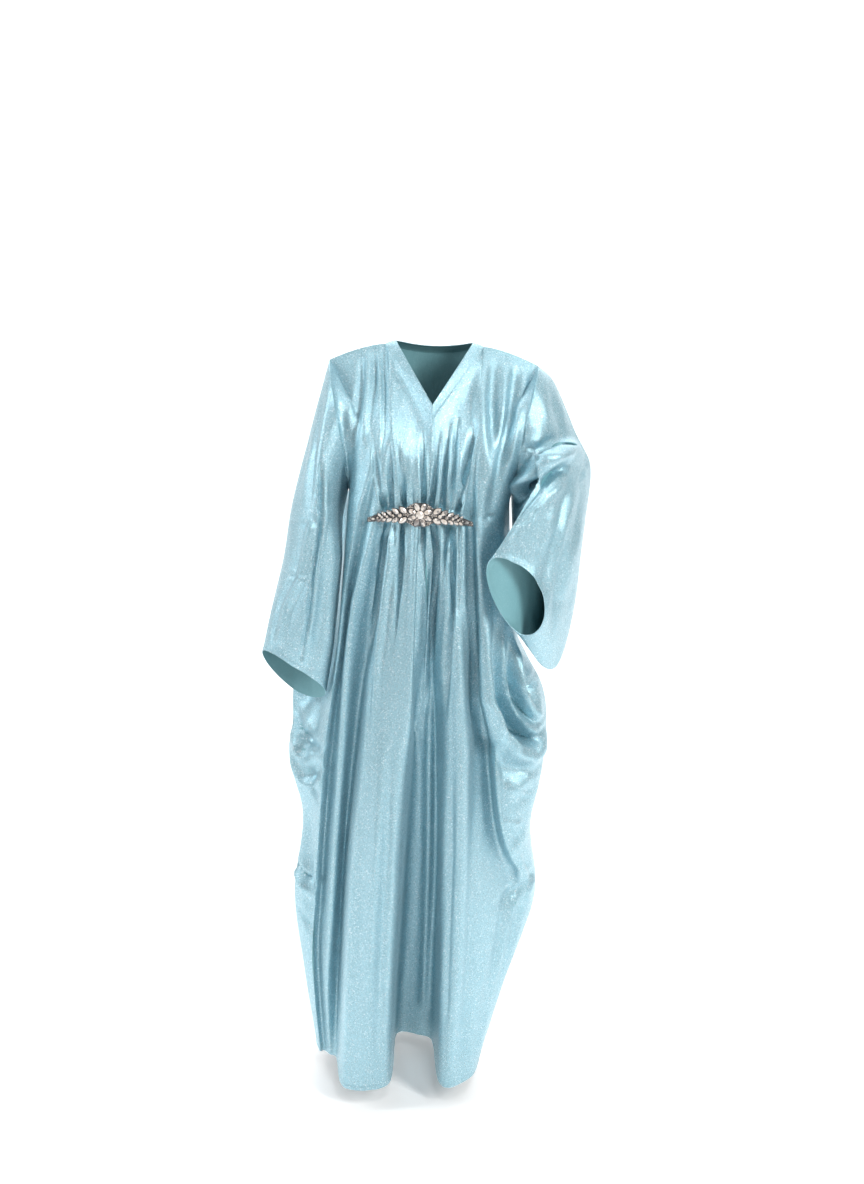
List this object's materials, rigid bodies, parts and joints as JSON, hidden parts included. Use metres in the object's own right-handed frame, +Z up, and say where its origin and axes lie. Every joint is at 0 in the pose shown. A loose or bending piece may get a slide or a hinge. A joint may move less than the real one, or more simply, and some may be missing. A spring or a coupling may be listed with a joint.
{
  "type": "abaya, butterfly cut, worn form",
  "caption": "Long butterfly-cut abaya in pale blue satin, worn form, with V neckband, wide sleeves, waist gathers under a stone applique and side wings.",
  "frame": {"origin": "on the garment's midline at the height of the high shoulder point, between the two shoulder seams, where the wearer's shoulders hold it", "axes": "+Z up, the front faces -Y, +X towards the wearer's left"},
  "size_m": [0.6129, 0.3117, 1.4431],
  "materials": {
    "satin": "satin sheen with a fine shimmer",
    "stones": "polished"
  },
  "bodies": {
    "root": {"front_panel": "satin", "back_panel": "satin", "sleeve_right": "satin", "sleeve_left": "satin", "neckband": "satin", "waist_applique": "stones"}
  },
  "joints": []
}
